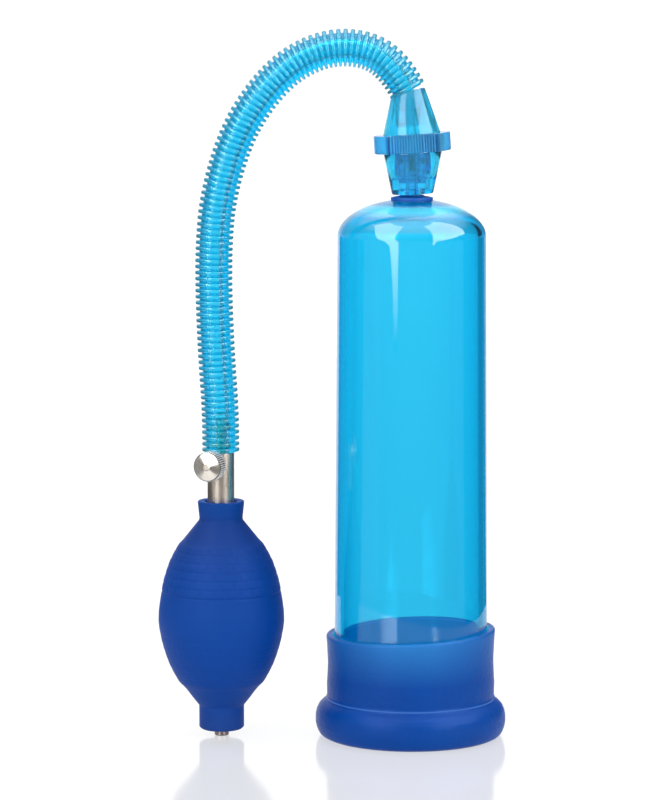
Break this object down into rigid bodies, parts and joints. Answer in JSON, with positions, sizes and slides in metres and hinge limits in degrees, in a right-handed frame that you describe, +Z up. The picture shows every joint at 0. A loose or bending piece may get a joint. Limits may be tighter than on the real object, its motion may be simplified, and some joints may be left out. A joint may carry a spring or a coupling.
{
  "type": "hand-bulb vacuum pump",
  "caption": "Clear domed cylinder in a soft sealing sleeve, with a push-on swivelling coupling, ribbed hose, release valve and squeeze bulb that draws air out of the cylinder.",
  "frame": {"origin": "on the cylinder's axis, in the plane of the surface that the sleeve stands on", "axes": "+Z up along the cylinder's axis, -X towards the squeeze bulb, -Y towards the viewer's side, where the release screw's head is"},
  "size_m": [0.1331, 0.073, 0.2701],
  "materials": {
    "clear_cylinder_plastic": "clear tinted, polished",
    "clear_coupling_plastic": "clear tinted, moulded",
    "clear_hose_vinyl": "soft clear vinyl, ribbed",
    "soft_sleeve_elastomer": "satin, finely textured, faintly translucent",
    "bulb_rubber": "matte",
    "gasket_rubber": "satin",
    "bush_rubber": "satin",
    "packing_rubber": "matte",
    "nickel_plated_brass": "nickel plated, turned",
    "steel_ball": "polished"
  },
  "bodies": {
    "sleeve": {"sealing_sleeve": "soft_sleeve_elastomer"},
    "cylinder": {"cylinder": "clear_cylinder_plastic", "nipple_gasket": "gasket_rubber"},
    "bush": {"coupling_bush": "bush_rubber"},
    "hose_set": {"coupling_socket": "clear_coupling_plastic", "coupling_grip_ring": "clear_coupling_plastic", "coupling_cuff": "clear_coupling_plastic", "coupling_insert": "clear_coupling_plastic", "hose": "clear_hose_vinyl", "valve_body": "nickel_plated_brass", "needle_packing": "packing_rubber", "intake_seat": "nickel_plated_brass", "intake_cage": "nickel_plated_brass", "bulb": "bulb_rubber", "exhaust_body": "nickel_plated_brass", "exhaust_seat": "nickel_plated_brass", "exhaust_cage": "nickel_plated_brass"},
    "needle": {"release_needle": "nickel_plated_brass"},
    "knob": {"release_knob": "nickel_plated_brass"},
    "intake_ball": {"intake_ball": "steel_ball"},
    "exhaust_ball": {"exhaust_ball": "steel_ball"}
  },
  "joints": [
    {"name": "cylinder_pull_out", "type": "slide", "parent": "sleeve", "child": "cylinder", "axis": [0, 0, 1], "range_m": [0, 0.045]},
    {"name": "coupling_pull_off", "type": "slide", "parent": "cylinder", "child": "bush", "axis": [0, 0, 1], "range_m": [0, 0.025]},
    {"name": "hose_swivel", "type": "hinge", "parent": "bush", "child": "hose_set", "pos_m": [0, 0, 0.217], "axis": [0, 0, 1], "continuous": true},
    {"name": "needle_travel", "type": "slide", "parent": "hose_set", "child": "needle", "axis": [-0.3338, -0.9426, 0], "range_m": [0, 0.0015]},
    {"name": "release_screw", "type": "hinge", "parent": "needle", "child": "knob", "pos_m": [-0.0725, 0, 0.1055], "axis": [-0.3338, -0.9426, 0], "range_deg": [0, 720]},
    {"name": "intake_ball_lift", "type": "slide", "parent": "hose_set", "child": "intake_ball", "axis": [0, 0, 1], "range_m": [0, 0.0008]},
    {"name": "exhaust_ball_lift", "type": "slide", "parent": "hose_set", "child": "exhaust_ball", "axis": [0, 0, 1], "range_m": [0, 0.0008]}
  ],
  "couplings": [
    {"joint": "needle_travel", "follows": "release_screw", "m_per_rad": 0.00011141}
  ]
}
